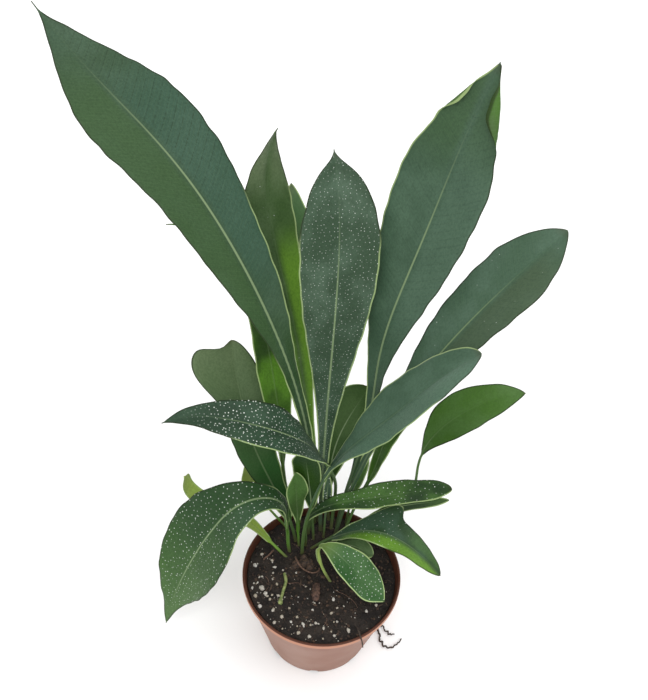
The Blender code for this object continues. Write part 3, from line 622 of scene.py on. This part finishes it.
class LeafNodes(Nodes):
    """The coat of one frond, from what its mesh holds for each point.

    x and y are mm across and along it, side the mm from the midrib and edge the mm from the margin; s
    runs from 0 at its foot to 1 at its tip, rib is the radius of its rib, and under is 1 below.
    """

    def __init__(self, f, look, seed):
        super().__init__("leaf " + f["name"].replace("_", " "))
        self.look, self.stalk = look, f["stalk"]
        place_on, self.x, self.y, self.edge = self.attribute("leaf")
        _, self.s, self.rib, self.under = self.attribute("leaf_more")
        self.side = self.math("ABSOLUTE", self.x)
        shift = (seed * 31.0, seed * 17.0, 0.0)
        self.moved = self.put("VectorMath", {0: place_on, 1: shift}, operation="ADD").outputs[0]
        self.wide = self.noise(self.moved, 0.035)
        self.fine = self.noise(self.moved, 0.55, 3.0, 0.6)
        self.path = self.vein_path()
        self.veins = self.vein_net()

    def along(self, low, high, start=0.0, end=1.0):
        """A smooth change along the frond."""
        return self.between(self.s, low, high, start, end)

    def window(self, first, last, soft):
        """1 from first to last along the frond, with soft ends within them."""
        return self.times(self.along(first, first + soft), self.along(last, last - soft))

    def half(self, on_side, low, high):
        """1 on one half of the blade, with a soft change from low to high mm past the midrib."""
        return self.between(self.times(self.x, on_side), low, high)

    def vein_path(self):
        """Runs evenly along the frond, and bends towards the edge as its side veins do."""
        bent = self.times(self.math("POWER", self.math("MAXIMUM", self.side, 0.01), 1.15), -0.42)
        return self.plus(self.plus(self.y, bent), self.times(self.minus(self.fine, 0.5), 0.7))

    def vein_net(self):
        """Side veins that leave the midrib at a steep slant, and a finer net that joins them."""
        vein = self.between(self.math("PINGPONG", self.path, 1.6), 0.34, 0.0)
        cells = self.cells(self.moved, 0.62, 0.9, feature="DISTANCE_TO_EDGE", voronoi_dimensions="2D")
        net = self.between(cells["Distance"], 0.10, 0.0)
        return self.math("MAXIMUM", self.times(vein, 0.6), self.times(net, 0.4))

    def upper_face(self):
        """Two greens in wide patches or from foot to tip, other colours by side, some of them painted light,
        veins, painted shade along them on some fronds, and mottling.
        """
        dark, light = self.look["upper"]
        run = self.look["run"]
        grown = self.along(self.look["turn"], 1.0) if "turn" in self.look else self.s
        patches = self.times(self.between(self.wide, 0.36, 0.66), 1.0 - run)
        colour = self.mix(self.plus(patches, self.times(grown, run)), dark, light)
        # Colours by side: the frond's own tints, and on some fronds painted light.
        for on_side, blush, first, last, strength in self.look["blush"]:
            reach = self.times(self.half(on_side, -1.0, 5.0), strength)
            colour = self.mix(self.times(reach, self.window(first, last, 0.12)), colour, blush)
        colour = self.mix(self.times(self.veins, self.look["veins"]), colour, VEIN)
        # Painted shade along the side veins, for fronds whose look has stripes.
        if "stripes" in self.look:
            colour = self.striped(colour, dimmed(dark, 0.4), *self.look["stripes"])
        return self.mix(self.between(self.fine, 0.30, 0.75, 0.0, 0.30), colour, dimmed(dark, 0.45))

    def striped(self, colour, dark, on_side, spacing, strength, first, last):
        """Darker lines along the side veins: painted shade in the grooves of the corrugated blade."""
        line = self.between(self.math("PINGPONG", self.path, spacing), 0.55, 0.05)
        line = self.times(line, self.between(self.fine, 0.3, 0.6), self.window(first, last, 0.1))
        if on_side:
            line = self.times(line, self.half(on_side, 0.5, 3.0))
        return self.mix(self.times(line, strength), colour, dark)

    def lower_face(self):
        """Paler than the upper one, with darker green between its veins."""
        colour = self.mix(self.between(self.wide, 0.35, 0.7), *self.look["under"])
        return self.mix(self.times(self.veins, 0.35), colour, VEIN)

    def with_stalk(self, colour):
        """The stalk takes its look's colour, pale green on fronds in front and darker, painted shade, on
        those further in; it turns brown where it meets the crown.
        """
        colour = self.mix(self.along(self.stalk + 0.16, self.stalk * 0.5), colour, self.look["stalk"])
        return self.mix(self.between(self.y, 13.0, 2.0, 0.0, 0.75), colour, STALK_FOOT)

    def with_midrib(self, colour):
        """A light line on the midrib, which fades towards the tip and on the stalk."""
        narrow = self.math("MAXIMUM", self.times(self.rib, 0.62), 0.05)
        ridge = self.between(self.math("DIVIDE", self.side, narrow), 1.25, 0.70)
        tip = self.along(0.92, 0.66, 0.04, 0.85)
        foot = self.along(self.stalk + 0.02, self.stalk + 0.22, 0.3, 1.0)
        faint = self.along(self.stalk + 0.25, self.stalk, self.look["faint"], 1.0)
        return self.mix(self.times(ridge, tip, foot, faint), colour, RIB)

    def with_margin(self, colour):
        """A pale line along the margin, with painted shade where the margin turns down."""
        line = MARGIN
        # Painted shade: from each given point on, that side's margin line turns dark green.
        for on_side, first in self.look["shade"].items():
            turned = self.times(self.along(first - 0.03, first + 0.03), self.half(on_side, -0.2, 0.2))
            line = self.mix(turned, line, MARGIN_SHADE)
        shown = self.along(self.stalk + 0.1, self.stalk + 0.35, 1.0, self.look["rim"])
        return self.mix(self.times(self.between(self.edge, 1.05, 0.5), shown), colour, line)

    def dots(self, amount, spacing, radius, strength, last=1.2):
        """Pale lime dots of uneven size on the upper face: 1 on a dot, and how strongly each one shows."""
        cells = self.cells(self.moved, 1 / spacing, 0.85, feature="F1", voronoi_dimensions="2D")
        pick = self.put("SeparateColor", {0: cells["Color"]}).outputs
        size = self.math("MULTIPLY_ADD", pick[0], 0.6 * radius / spacing, 0.7 * radius / spacing)
        spot = self.between(self.minus(cells["Distance"], size), 0.15 / spacing, -0.1 / spacing)
        patchy = self.plus(self.times(self.wide, 0.5), self.times(pick[1], 0.5))
        chosen = self.between(patchy, 0.78 - 0.62 * amount, 0.74 - 0.62 * amount, 1.0, 0.0)
        ends = self.along(self.stalk + 0.06, self.stalk + 0.18), self.along(last, last - 0.14)
        spot = self.times(spot, chosen, self.minus(1.0, self.under), *ends)
        return spot, self.times(spot, self.between(pick[2], 0.0, 1.0, 0.4 * strength, strength))


def leaf_material(f, look, seed):
    n = LeafNodes(f, look, seed)
    colour = n.mix(n.under, n.upper_face(), n.lower_face())
    colour = n.with_margin(n.with_midrib(n.with_stalk(colour)))
    rough = n.between(n.fine, 0.2, 0.8, look["rough"] - 0.05, look["rough"] + 0.09)
    height = n.plus(n.times(n.veins, 0.5), n.times(n.fine, 0.35))
    if "dots" in look:
        spot, shown = n.dots(*look["dots"])
        colour = n.mix(shown, colour, DOT)
        rough = n.plus(rough, n.times(spot, 0.25))
        height = n.plus(height, n.times(spot, 0.6))
    colour = n.mix(n.along(0.975, 1.0, 0.0, look["tip_brown"]), colour, TIP_BROWN)
    n.bump(height, 0.55, 0.00022)
    return n.finish(colour, rough, 0.22)


def soil_height(x, y):
    """The soil's height, a little lower to the back right, with smooth unevenness and crumbs."""
    wide = noise.noise((x / 10, y / 10, 0.3)) * 1.3
    fine = noise.noise((x / 4.2, y / 4.2, 7.1)) * 0.7
    crumbs = noise.turbulence((x / 3.1, y / 3.1, 4.0), 3, True) - 0.45
    smooth = SOIL_TOP - SOIL_DIP * (0.5 * x + 0.8 * y) / 57 + wide + fine
    return smooth + 0.85 * crumbs + 0.35 * noise.noise((x / 0.9, y / 0.9, 2.0))


def outer_radius(z):
    """Radius of the pot's outer wall at a height."""
    return POT_BASE_RADIUS + POT_SLOPE * (z - POT_CORNER)


def inner_radius(z):
    return outer_radius(z) - POT_WALL


def circle(radius, steps):
    turns = (2 * math.pi * k / steps for k in range(steps))
    return [(radius * math.cos(turn), radius * math.sin(turn)) for turn in turns]


def soil_mesh():
    """The lump of soil: a crumbled top, sides just inside the pot's wall and a flat underside."""
    points = [(0, 0, soil_height(0, 0))]
    for row in range(1, SOIL_ROWS + 1):
        around = circle((row / SOIL_ROWS) ** 0.85 * SOIL_EDGE, SOIL_STEPS)
        points += [(x, y, soil_height(x, y)) for x, y in around]
    sides = [(inner_radius(z) - 0.25, z) for z in (68.0, 40.0, 10.0, 3.0)]
    for r, z in [*sides, (SOIL_FLOOR_RADIUS, SOIL_FLOOR)]:
        points += [(x, y, z) for x, y in circle(r, SOIL_STEPS)]
    points.append((0, 0, SOIL_FLOOR))
    rings = SOIL_ROWS + len(sides) + 1
    faces = tube_faces(rings, SOIL_STEPS, 1)[:-2]
    last = (rings - 1) * SOIL_STEPS
    for k in range(SOIL_STEPS):
        a, b = 1 + k, 1 + (k + 1) % SOIL_STEPS
        faces += [(0, a, b), (len(points) - 1, b + last, a + last)]
    return smooth_piece(mesh_of("soil_mix", points, faces))


def scattered(name, spots, fineness, tall, rough, flat=False):
    """Small lumps at (x, y, size) spots, each with its own shape, half sunk in the soil, as one piece."""
    draw = np.random.default_rng(len(name) * 7 + len(spots))
    ball = bmesh.new()
    bmesh.ops.create_icosphere(ball, subdivisions=fineness, radius=1.0)
    unit = [point.co.copy() for point in ball.verts]
    skin = np.array([[point.index for point in face.verts] for face in ball.faces])
    ball.free()
    points, faces, tone = [], [], []
    for x, y, size in spots:
        turn = Matrix.Rotation(draw.uniform(0, 6.28), 3, "Z")
        turn = turn @ Matrix.Rotation(draw.uniform(-0.6, 0.6), 3, "X")
        stretch = Vector((draw.uniform(0.75, 1.35), draw.uniform(0.7, 1.0), tall * draw.uniform(0.7, 1.1)))
        if flat:
            stretch = Vector((draw.uniform(1.3, 3.2), draw.uniform(0.35, 0.7), draw.uniform(0.12, 0.3)))
        key = Vector(draw.uniform(-9, 9, 3))
        grown = np.array([size * (1.0 + rough * noise.noise(p * 1.7 + key) * 2.2) for p in unit])
        shape = (np.array(unit) * grown[:, None] * stretch) @ np.array(turn).T
        faces += (skin + len(points)).tolist()
        points += (shape + (x, y, soil_height(x, y) + size * (0.1 if flat else 0.25))).tolist()
        tone += [draw.uniform(0, 1)] * len(unit)
    mesh = mesh_of(name, points, faces)
    mark_points(mesh, "grain", tone, tone, tone)
    return smooth_piece(mesh, turn_outward=False)


def frame_along(points):
    """The way along a path at each point, and two ways across it that don't twist."""
    along = np.gradient(points, axis=0)
    along /= np.linalg.norm(along, axis=1)[:, None]
    side = np.cross(along[0], (0.3, 0.5, 0.81))
    sides = []
    for t in along:
        side = side - t * (side @ t)
        side /= np.linalg.norm(side)
        sides.append(side)
    sides = np.array(sides)
    return sides, np.cross(along, sides)


def root_mesh(name, paths, sides, per, rough, grain=1.6, kink=0.0):
    """Round pieces along (x, y, height over the soil line, radius) points, smoothed and roughened.

    sides and per are the points round a piece and between the given points; kink is in mm.
    """
    points, faces = [], []
    for number, path in enumerate(paths):
        path = np.array(path, float)
        t = np.linspace(0, 1, (len(path) - 1) * per + 1)
        dense = np.stack([blend(tuple(path[:, c]), t) for c in range(4)], 1)
        centres = dense[:, :3] + (0, 0, SOIL)
        for i in range(1, len(centres)):
            centres[i, :2] += [kink * noise.noise((i / 5.0, number, at)) for at in (3.3, 8.1)]
        side, over = frame_along(centres)
        faces += tube_faces(len(centres), sides, len(points))
        for i, centre in enumerate(centres):
            r = max(dense[i, 3], 0.12)
            for cosine, sine in circle(1.0, sides):
                out = side[i] * cosine + over[i] * sine
                key = Vector((centre[0] + number * 9, centre[1], centre[2])) / grain + Vector(out) * 0.8
                points.append(centre + out * r * (1 + rough * noise.noise(key) * 2))
    return smooth_piece(mesh_of(name, points, faces))


def crown_mesh():
    """The rootstock's lumps with scaly skin."""
    whole = bmesh.new()
    for x, y, z, a, b, c, turn in CROWN_LUMPS:
        turned = Matrix.Rotation(math.radians(turn), 3, "Z")
        for point in bmesh.ops.create_icosphere(whole, subdivisions=5, radius=1.0)["verts"]:
            p = point.co
            k = 1.0 + 0.10 * noise.noise(p * 2.3 + Vector((x, y, z)))
            k += 0.10 * noise.turbulence(p * 2.6 + Vector((y, x, z)), 3, True) - 0.03
            grown = turned @ Vector((p.x * a, p.y * b, p.z * c)) * k
            point.co = (grown + Vector((x, y, SOIL_TOP + z))) * MM
    mesh = bpy.data.meshes.new("crown")
    whole.to_mesh(mesh)
    whole.free()
    return smooth_piece(mesh)


def pot_profile():
    """Radius and height of the pot's skin, from the middle of its underside to the middle of its floor."""
    profile = [(0.0, 0.15), (20.0, 0.15), (36.0, 0.12), (38.6, 0.0), (40.2, 0.0), (41.0, 0.25), (41.5, 0.8)]
    profile += [(outer_radius(z), z) for z in (1.4, 4, 14, 26, 38, 50, 60, 68, 72.2)]
    # The lip, measured from the rim's outermost point and the pot's top.
    lip = [
        (-1.85, -5.0), (-1.3, -4.65), (-0.5, -4.5), (-0.1, -4.2), (0.0, -3.7), (0.0, -1.2),
        (-0.15, -0.5), (-0.6, -0.1), (-1.1, 0.0), (-1.6, -0.1), (-2.0, -0.5), (-2.15, -1.2),
    ]
    profile += [(POT_RIM_RADIUS + across, POT_HEIGHT + up) for across, up in lip]
    profile += [(inner_radius(z), z) for z in (74, 70, 60, 45, 30, 15, 4)]
    return profile + [(40.3, 2.2), (39.4, 1.6), (38.0, 1.5), (0.0, 1.5)]


def turned_mesh(name, profile, steps):
    """A very slightly uneven round body from (radius, height) points."""
    points, faces, rows = [], [], []
    for r, z in profile:
        if r == 0:
            rows.append([len(points)])
            points.append((0, 0, z))
            continue
        rows.append(list(range(len(points), len(points) + steps)))
        for k in range(steps):
            a = 2 * math.pi * k / steps
            wobble = 1 + 0.0012 * math.sin(3 * a + 0.6) * min(1, z / 60)
            points.append((r * wobble * math.cos(a), r * wobble * math.sin(a), z))
    for one, two in zip(rows, rows[1:]):
        for k in range(steps):
            corners = [one[k % len(one)], one[(k + 1) % len(one)], two[(k + 1) % len(two)], two[k % len(two)]]
            faces.append(list(dict.fromkeys(corners)))
    return mesh_of(name, points, faces)


def notch_cutter():
    """Round-topped bars across the pot's bottom corner, at equal steps round it."""
    half = NOTCH_WIDTH / 2
    ring = [(math.cos(t) * half, 0.6 + 3.4 * math.sin(t)) for t in np.linspace(math.pi, 0, 13)]
    ring = [(-half, -1.0), *ring, (half, -1.0)]
    points, faces = [], []
    for cosine, sine in circle(1.0, NOTCHES):
        faces += tube_faces(2, len(ring), len(points))
        for r in (NOTCH_FROM, NOTCH_TO):
            points += [(cosine * r - sine * a, sine * r + cosine * a, z) for a, z in ring]
    return smooth_piece(mesh_of("notches", points, faces))


def pot_mesh():
    """Pot with a round lip, thin wall and the drainage notches of its bottom corner."""
    body = smooth_piece(turned_mesh("pot_body", pot_profile(), POT_STEPS))
    cutter = notch_cutter()
    cut = body.modifiers.new("Notches", "BOOLEAN")
    cut.operation, cut.object, cut.solver = "DIFFERENCE", cutter, "EXACT"
    bpy.context.view_layer.update()
    done = bpy.data.meshes.new_from_object(body.evaluated_get(bpy.context.evaluated_depsgraph_get()))
    done.shade_smooth()
    done.set_sharp_from_angle(angle=math.radians(38))
    body.modifiers.clear()
    body.data = done
    bpy.data.objects.remove(cutter, do_unlink=True)
    return body


def pot_material():
    """Dull pink plastic, with a salmon lip that has a dark top edge, and a dark, dusty inside."""
    n = Nodes("pot plastic")
    where, parts = n.place()
    cloud = n.noise(where, 22.0, 3.0)
    grain = n.noise(where, 900.0)
    wall = n.mix(n.between(cloud, 0.3, 0.7), POT_WALL_PINK, POT_WALL_DULL)
    wall = n.mix(n.between(parts[2], 0.0726, 0.0735), wall, POT_SALMON)
    radius = n.math("SQRT", n.plus(n.times(parts[0], parts[0]), n.times(parts[1], parts[1])))
    middle = n.math("MULTIPLY_ADD", parts[2], POT_SLOPE, (outer_radius(0) - POT_WALL / 2) * MM)
    inside = n.between(n.minus(radius, middle), 0.0002, -0.0002)
    dark = n.math("MAXIMUM", n.between(parts[2], 0.0769, 0.0776), inside)
    dust = n.times(n.between(n.noise(where, 260.0, 4.0, 0.7), 0.56, 0.72), dark)
    colour = n.mix(n.times(dust, 0.6), n.mix(dark, wall, POT_LIP), SOIL_BROWN)
    rings = n.math("SINE", n.times(parts[2], 2600.0))
    n.bump(n.plus(grain, n.times(rings, 0.12)), 0.25, 0.00012)
    n.surface["Subsurface Weight"].default_value = 0.06
    n.surface["Subsurface Radius"].default_value = (0.004, 0.002, 0.0015)
    return n.finish(colour, n.between(cloud, 0.3, 0.7, 0.48, 0.6), 0.2)


def soil_material():
    """Black soil with brown patches and red and tan flecks."""
    n = Nodes("soil mix")
    where, _ = n.place()
    big = n.noise(where, 90.0, 4.0, 0.65)
    mid = n.noise(where, 420.0, 4.0, 0.7)
    small = n.noise(where, 1500.0, 3.0, 0.7)
    colour = n.mix(n.between(big, 0.38, 0.64), SOIL_BLACK, SOIL_BROWN)
    colour = n.mix(n.between(mid, 0.60, 0.74, 0.0, 0.5), colour, SOIL_RED)
    colour = n.mix(n.between(small, 0.68, 0.80, 0.0, 0.45), colour, SOIL_TAN)
    n.bump(n.plus(mid, n.times(small, 0.6)), 0.9, 0.0009)
    return n.finish(colour, n.between(mid, 0.3, 0.7, 0.75, 0.98), 0.25)


def grain_material(name, one, two, dirt, rough=0.85):
    """Each lump has its own colour between one and two, with specks of dirt."""
    n = Nodes(name)
    tone = n.attribute("grain")[1]
    where, _ = n.place()
    speckle = n.noise(where, 1300.0, 3.0, 0.7)
    colour = n.mix(n.between(speckle, 0.5, 0.72, 0.0, 0.75), n.mix(tone, one, two), dirt)
    n.bump(speckle, 0.7, 0.0003)
    return n.finish(colour, rough)


def root_material(name, pale, dark, scale, rough=0.8):
    """Patchy, scaly skin."""
    n = Nodes(name)
    where, _ = n.place()
    skin = n.noise(where, scale, 4.0, 0.65)
    scales = n.cells(where, scale * 1.3)["Distance"]
    colour = n.mix(n.between(skin, 0.34, 0.66), dark, pale)
    colour = n.mix(n.between(scales, 0.5, 0.15, 0.0, 0.45), colour, dimmed(dark, 0.5))
    n.bump(n.plus(skin, scales), 0.8, 0.0005)
    return n.finish(colour, rough)


def settle(obj, coat, slot, *nodes):
    """Gives a piece its material, and tells the frame where it belongs and which nodes it replaces."""
    obj.data.materials.clear()
    obj.data.materials.append(coat)
    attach(obj, "root")
    if nodes:
        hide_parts(*nodes)


def white_spots(draw):
    """The listed grains, and small ones that gather in clusters and towards the front left."""
    spots = [(x, y, size * 0.62) for x, y, size in GRAINS]
    while len(spots) < PALE_GRAINS:
        x, y = draw.uniform(-55, 55, 2)
        if math.hypot(x, y) >= 55:
            continue
        front = np.clip((-y - 0.9 * x + 14) / 60, 0.05, 1)
        cluster = 0.25 + 0.75 * (noise.noise(Vector((x, y, 0)) / 9) > -0.05)
        if draw.uniform() < front * cluster:
            spots.append((x, y, 0.32 + 0.75 * draw.uniform() ** 3.2))
    return spots


def strewn(draw, count, radius):
    """Spots anywhere within a radius, most of them small."""
    spots = []
    while len(spots) < count:
        x, y = draw.uniform(-56, 56, 2)
        if math.hypot(x, y) < radius:
            spots.append((x, y, 0.35 + 0.9 * draw.uniform() ** 2))
    return spots


def soil_and_pot():
    settle(pot_mesh(), pot_material(), "pot", "pot")
    settle(soil_mesh(), soil_material(), "soil", "soil")
    draw = np.random.default_rng(GRAIN_DRAW)
    white = white_spots(draw)
    crumbs = strewn(draw, CRUMBS, 55.6)
    bits = strewn(draw, BARK_BITS, 54.5)
    pale = grain_material("pale grains", PERLITE, PERLITE_TAN, SOIL_TAN)
    settle(scattered("pale_grains", white, 3, 0.8, 0.22), pale, "soil")
    dark = grain_material("soil crumbs", SOIL_BLACK, SOIL_RED, SOIL_BLACK, 0.95)
    settle(scattered("soil_crumbs", crumbs, 2, 0.8, 0.4), dark, "soil")
    bark = grain_material("bark bits", SOIL_RED, SOIL_BROWN, SOIL_BLACK)
    settle(scattered("bark_bits", bits, 2, 0.4, 0.3, flat=True), bark, "soil")


def roots_and_crown():
    settle(crown_mesh(), root_material("crown skin", CROWN_TAN, CROWN_DARK, 420.0), "rhizome", "rhizome")
    green = root_material("old stalk", OLD_PALE, OLD_GREEN, 260.0, 0.55)
    settle(root_mesh("old_green_stalk", [OLD_STALK], 18, 12, 0.05), green, "old_stalk", "old_stalk")
    brown = root_material("stump", STUMP_TAN, STUMP_BROWN, 330.0)
    settle(root_mesh("stump_bract", [STUMP], 26, 14, 0.14), brown, "stump", "brown_stump")
    tan = root_material("dry root", DRY_TAN, DRY_BROWN, 900.0)
    settle(root_mesh("dry_loop", [DRY_ROOT], 12, 12, 0.12), tan, "dry_root", "dry_root")
    settle(root_mesh("thin_surface_root", [THIN_ROOT], 12, 12, 0.12), tan, "dry_root", "thin_root")
    settle(root_mesh("fine_rootlets", ROOTLETS, 8, 9, 0.1), tan, "dry_root")
    dark = root_material("dark root", ROOT_BROWN, ROOT_DARK, 800.0)
    settle(root_mesh("root_over_rim", [RIM_ROOT], 12, 12, 0.15), dark, "dark_root", "rim_root")
    for length, path in (("long", OUTSIDE_ROOT_LONG), ("short", OUTSIDE_ROOT_SHORT)):
        root = root_mesh(length + "_outside_root", [path], 12, 12, 0.3, 0.9, 1.6)
        settle(root, dark, "dark_root", "outside_root_" + length)


def fronds():
    """Each frond has its own seed, so that no two have the same waves and dots."""
    for number, f in enumerate(FRONDS):
        look, seed = LOOKS[f["name"]], 0.7 + 1.37 * number
        leaf, coat = fine_frond(f, look, seed), leaf_material(f, look, seed)
        settle(leaf, coat, "leaf_" + look["slot"], "frond_" + f["name"])


def studio():
    """A white floor, an evenly white surrounding and three soft suns."""
    corners = ((-1, -1), (1, -1), (1, 1), (-1, 1))
    points = [(x * FLOOR_HALF, y * FLOOR_HALF, FLOOR_LEVEL) for x, y in corners]
    mesh = mesh_of("floor", points, [(0, 1, 2, 3)])
    mesh.materials.append(Nodes("studio floor").finish(FLOOR_WHITE, 0.9))
    linked("floor", mesh)
    world = bpy.data.worlds.new("studio")
    world.use_nodes = True
    colour, strength = world.node_tree.nodes["Background"].inputs[:2]
    colour.default_value, strength.default_value = (1.0, 1.0, 1.0, 1.0), SURROUNDINGS
    bpy.context.scene.world = world
    for name, at, power, wide in SUNS:
        lamp = bpy.data.lights.new(name, "SUN")
        lamp.energy, lamp.angle = power, math.radians(wide)
        obj = linked(name, lamp)
        obj.location = at
        obj.rotation_euler = (-Vector(at)).to_track_quat("-Z", "Y").to_euler()
    bpy.context.scene.view_settings.view_transform = "Standard"


def camera():
    tilt = Matrix.Rotation(math.radians(90 - PITCH), 4, "X") @ Matrix.Rotation(math.radians(ROLL), 4, "Z")
    data = bpy.data.cameras.new("camera")
    data.sensor_width, data.lens = SENSOR, PHOTO_FOCAL * SENSOR / PHOTO_HEIGHT
    data.clip_start = 0.01
    obj = linked("camera", data)
    obj.matrix_world = Matrix.Translation(EYE) @ tilt
    bpy.context.scene.camera = obj


camera()
studio()
soil_and_pot()
roots_and_crown()
fronds()
